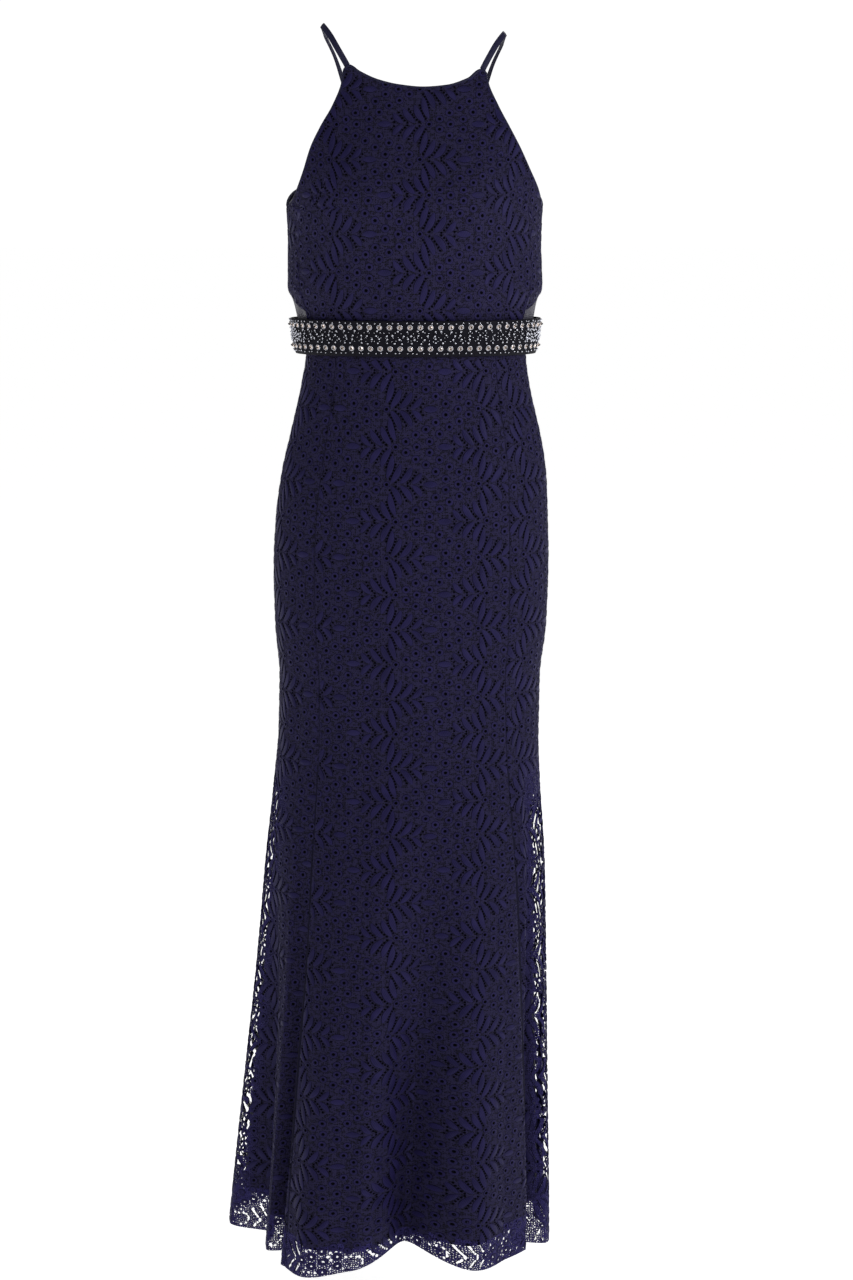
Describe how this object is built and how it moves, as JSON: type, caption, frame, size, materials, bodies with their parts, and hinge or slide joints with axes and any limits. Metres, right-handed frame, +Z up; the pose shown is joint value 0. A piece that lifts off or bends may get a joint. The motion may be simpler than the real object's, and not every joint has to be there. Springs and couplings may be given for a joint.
{
  "type": "maxi evening dress",
  "caption": "Sleeveless floor-length lace evening dress with scooped neck, narrow straps, side cut-outs filled with net, beaded waistband and flared skirt over a shorter lining.",
  "frame": {"origin": "on the wearer's shoulders, midway between the tops of the two straps", "axes": "+Z up, the front of the dress towards -Y, +X to the right of the picture"},
  "size_m": [0.3806, 0.3995, 1.4135],
  "materials": {
    "bodice_lace": "navy corded lace laid on a dark lining, matt with a faint thread sheen",
    "skirt_lace": "navy corded leaf lace, matt with a faint thread sheen, see-through where no lining is behind it",
    "net": "sheer dark net",
    "binding": "folded satin binding",
    "beaded_band": "navy cloth covered with faceted crystals in silver cups and small silver beads",
    "lining": "smooth woven lining, slight sheen",
    "zip_tape": "woven tape of a concealed zip",
    "zip_metal": "navy enamel on metal"
  },
  "bodies": {
    "dress": {"bodice_front": "bodice_lace", "bodice_back_left": "bodice_lace", "bodice_back_right": "bodice_lace", "mesh_inset_left": "net", "mesh_inset_right": "net", "strap_left": "binding", "strap_right": "binding", "belt": "beaded_band", "skirt_front": "skirt_lace", "skirt_side_left": "skirt_lace", "skirt_side_right": "skirt_lace", "skirt_back_left": "skirt_lace", "skirt_back_right": "skirt_lace", "skirt_lining": "lining", "zip_strip": "zip_tape", "zip_slider": "zip_metal"},
    "pull": {"zip_pull": "zip_metal"}
  },
  "joints": [
    {"name": "pull_hinge", "type": "hinge", "parent": "dress", "child": "pull", "pos_m": [0.001, 0.10498, -0.193], "axis": [1, 0, 0], "range_deg": [0, 120]}
  ]
}
